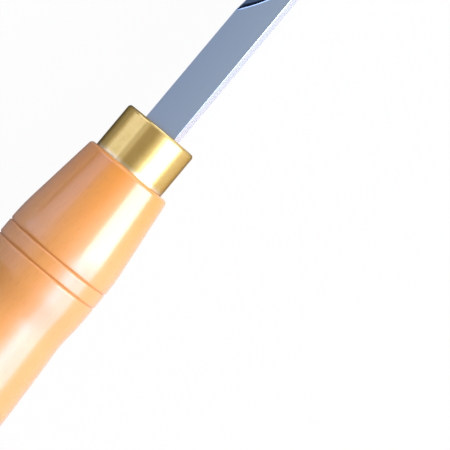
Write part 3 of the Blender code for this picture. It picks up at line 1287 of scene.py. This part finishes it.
@dataclass(frozen=True)
class Softbox:
    """One rectangular lamp, placed round the tool as the camera sees it.

    Attributes:
        name: the lamp's name.
        swing: angle round the axis from the camera's side, to the tool's right.
        lean: angle towards the tip.
        distance: from the ferrule's rim.
        width: size across the tool.
        length: size along the tool.
        power: in watts.
        colour: sRGB hex colour.
    """

    name: str
    swing: float
    lean: float
    distance: float
    width: float
    length: float
    power: float
    colour: str

    def place(self, axis: ToolAxis, camera: PictureCamera) -> None:
        """Add the lamp, facing the tool.

        Args:
            axis: the tool's axis.
            camera: the camera.
        """
        along = axis.forward
        back = camera.around(axis, self.swing, self.lean)
        lengthways = (along - back * along.dot(back)).normalized()
        lamp = bpy.data.lights.new(self.name, "AREA")
        lamp.shape = "RECTANGLE"
        lamp.size = self.width
        lamp.size_y = self.length
        lamp.energy = self.power
        lamp.color = linear(self.colour)[:3]
        holder = add_object(self.name, lamp)
        aim(holder, axis.origin + back * self.distance, lengthways.cross(back), lengthways, back)
        holder.visible_camera = False


@dataclass(frozen=True)
class Look:
    """What the room's nodes know of the direction that is looked in.

    Attributes:
        direction: the direction.
        lean: its lean towards the tip, in radians.
        squareness: cosine of that lean.
    """

    direction: Socket
    lean: Socket
    squareness: Socket

    @classmethod
    def start(cls, tree: Tree, axis: ToolAxis) -> "Look":
        """Add the nodes that every panel shares.

        Args:
            tree: the world's node tree.
            axis: the tool's axis.

        Returns:
            The look.
        """
        direction = add_node(tree, "ShaderNodeTexCoord").outputs["Generated"]
        along = add_node(tree, "ShaderNodeVectorMath", {
            0: direction, 1: axis.forward,
        }, operation="DOT_PRODUCT")
        lean = add_node(tree, "ShaderNodeMath", {0: along.outputs["Value"]}, operation="ARCSINE")
        squareness = add_node(tree, "ShaderNodeMath", {0: lean.outputs["Value"]}, operation="COSINE")
        return cls(direction, lean.outputs["Value"], squareness.outputs["Value"])


@dataclass(frozen=True)
class Panel:
    """A lit panel in the room with feathered edges, which the metal and the lacquer mirror.

    Attributes:
        swing: angle round the axis from the camera's side, to the tool's right.
        swing_ends: how far from there it is even, and how far it reaches.
        lean: angle towards the tip.
        lean_ends: how far from there it is even, and how far it reaches.
        strength: its light in the middle, where 1 is white.
        colour: sRGB hex colour.
    """

    swing: float
    swing_ends: Point
    lean: float
    lean_ends: Point
    strength: float
    colour: str = WHITE

    def add(self, tree: Tree, look: Look, middle: Vector) -> Socket:
        """Add the panel to the room.

        Args:
            tree: the world's node tree.
            look: the direction that is looked in.
            middle: the direction of the panel's middle, square to the axis.

        Returns:
            Its light.
        """
        swing_even, swing_reach = (math.radians(end) for end in self.swing_ends)
        lean_even, lean_reach = (math.radians(end) for end in self.lean_ends)
        toward = add_node(tree, "ShaderNodeVectorMath", {
            0: look.direction, 1: middle,
        }, operation="DOT_PRODUCT")
        round_axis = add_node(tree, "ShaderNodeMath", {
            0: toward.outputs["Value"], 1: look.squareness,
        }, operation="DIVIDE")
        across = add_node(tree, "ShaderNodeMapRange", {
            "Value": round_axis.outputs["Value"],
            "From Min": math.cos(swing_reach), "From Max": math.cos(swing_even),
            "To Max": self.strength,
        }, interpolation_type="SMOOTHSTEP")
        off_lean = add_node(tree, "ShaderNodeMath", {
            0: look.lean, 1: math.radians(self.lean),
        }, operation="SUBTRACT")
        away = add_node(tree, "ShaderNodeMath", {0: off_lean.outputs["Value"]}, operation="ABSOLUTE")
        along = add_node(tree, "ShaderNodeMapRange", {
            "Value": away.outputs["Value"], "From Min": lean_even, "From Max": lean_reach,
            "To Min": 1.0, "To Max": 0.0,
        }, interpolation_type="SMOOTHSTEP")
        share = add_node(tree, "ShaderNodeMath", {
            0: across.outputs["Result"], 1: along.outputs["Result"],
        }, operation="MULTIPLY")
        light = add_node(tree, "ShaderNodeVectorMath", {
            0: linear(self.colour)[:3], "Scale": share.outputs["Value"],
        }, operation="SCALE")
        return light.outputs["Vector"]


@dataclass(frozen=True)
class Studio:
    """White paper floor, a softbox and a dim room with lit panels."""

    floor_size: float = 8.0
    floor_segments: int = 8
    zenith: str = "#3C3B3A"
    horizon: str = "#303030"
    zenith_height: float = 0.9      # the room has its zenith's colour from here up, where 1 is overhead
    key: Softbox = Softbox(
        "key_softbox", swing=63.5, lean=11.0, distance=0.9, width=0.94, length=0.26, power=4.95,
        colour="#FFFAF2",
    )
    # Each panel's swing and its ends, lean and its ends, strength and colour.
    panels: tuple[Panel, ...] = (
        # Above the tool.
        Panel(-10.0, (20.0, 44.0), 6.0, (14.0, 30.0), 0.36),
        # On its right: a wide one, its bright middle, and a strip for the ferrule's highlight.
        Panel(60.0, (10.0, 64.0), 3.0, (12.0, 40.0), 1.5, "#D4E2FF"),
        Panel(65.5, (22.0, 36.0), -1.0, (8.0, 22.0), 3.8, "#B8C6FF"),
        Panel(39.0, (10.0, 20.0), 0.0, (2.0, 4.5), 3.6, "#B8D0FF"),
        # On its left: one for the handle's taper, and three for the ferrule's tube.
        Panel(-62.0, (8.0, 18.0), 16.0, (4.0, 8.0), 0.7, "#B4C8FF"),
        Panel(-71.5, (19.5, 26.5), 0.8, (2.0, 4.4), 2.25, SIDE_TINT),
        Panel(-67.0, (14.0, 23.0), 9.0, (2.0, 4.8), 1.3, SIDE_TINT),
        Panel(-42.0, (4.0, 13.0), 1.5, (5.0, 10.0), 0.7, SIDE_TINT),
        # Ahead, for the ferrule's rim: on the left, above, on the right, and past the tip.
        Panel(-67.0, (20.0, 27.0), 28.0, (8.0, 15.0), 2.3, SIDE_TINT),
        Panel(-16.0, (28.0, 55.0), 46.0, (10.0, 34.0), 0.95, FRONT_TINT),
        Panel(55.0, (20.0, 38.0), 46.0, (14.0, 28.0), 1.9, FRONT_TINT),
        Panel(-15.0, (75.0, 110.0), 80.0, (8.0, 20.0), 2.9, FRONT_TINT),
        # Behind, faint and warm, over the butt.
        Panel(0.0, (40.0, 70.0), -40.0, (12.0, 28.0), 0.3, "#FFF8EE"),
    )

    def build_floor(self) -> None:
        """Add the floor under the tool."""
        builder = bmesh.new()
        bmesh.ops.create_grid(
            builder, x_segments=self.floor_segments, y_segments=self.floor_segments,
            size=self.floor_size / 2.0,
        )
        mesh = bpy.data.meshes.new("paper_floor")
        builder.to_mesh(mesh)
        builder.free()
        mesh.materials.append(WhitePaper().make())
        floor = add_object("paper_floor", mesh)

    def light_room(self, axis: ToolAxis, camera: PictureCamera) -> None:
        """Give the room its dim light, which falls off towards the horizon, and its panels.

        Args:
            axis: the tool's axis.
            camera: the camera.
        """
        world = bpy.data.worlds.new("studio_room")
        world.use_nodes = True
        tree = world.node_tree
        look = Look.start(tree, axis)
        height = add_node(tree, "ShaderNodeMapRange", {
            "Value": add_node(tree, "ShaderNodeSeparateXYZ", {"Vector": look.direction}).outputs["Z"],
            "From Min": 0.0, "From Max": self.zenith_height,
        }, interpolation_type="SMOOTHSTEP")
        light = add_node(tree, "ShaderNodeMix", {
            MIX_SHARE: height.outputs["Result"],
            MIX_FROM: linear(self.horizon), MIX_TO: linear(self.zenith),
        }, data_type="RGBA").outputs[MIX_COLOUR]
        for panel in self.panels:
            patch = panel.add(tree, look, camera.around(axis, panel.swing, 0.0))
            light = add_node(tree, "ShaderNodeVectorMath", {
                0: light, 1: patch,
            }, operation="ADD").outputs["Vector"]
        tree.links.new(light, tree.nodes["Background"].inputs["Color"])
        bpy.context.scene.world = world

    def set_up(self, axis: ToolAxis, camera: PictureCamera) -> None:
        """Build the floor, light the room and place the softbox and the camera.

        Args:
            axis: the tool's axis.
            camera: the camera.
        """
        self.build_floor()
        self.light_room(axis, camera)
        self.key.place(axis, camera)
        camera.place(axis)
        bpy.context.scene.view_settings.view_transform = "Standard"
        LOG.info("studio: floor, %d panels, softbox and camera are in place", len(self.panels))


def main() -> None:
    """Build the pieces in order, dress and report them, and set up the studio."""
    logging.basicConfig(level=logging.INFO, format="%(name)s: %(message)s")
    blade = Blade()
    ferrule = Ferrule()
    handle = Handle(blade, ferrule)
    axis = ToolAxis.from_record(frame["record"], blade.bar_width, blade.reach)

    steels = {
        SteelFace.GROUND: GroundSteel(),
        SteelFace.MILLED: MilledSteel(),
        # Lapping gives the working faces their lower roughness; their near-white colour is a painted
        # highlight that brightens what they mirror.
        SteelFace.LAPPED: GroundSteel(
            "lapped_steel_painted_bright", bright="#FCFDFF", dull="#F8FAFD", line_share=0.02, gloss=(0.16, 0.17),
        ),
    }
    for maker, finish in ((blade, steels), (ferrule, PolishedBrass()), (handle, LacqueredBeech())):
        piece = maker.build(axis)
        maker.dress(piece, finish, axis)
        LOG.info("%s: %d faces, rides on %s", piece.name, len(piece.data.polygons), BODY)

    Studio().set_up(axis, PictureCamera())


if __name__ == "__main__":
    main()
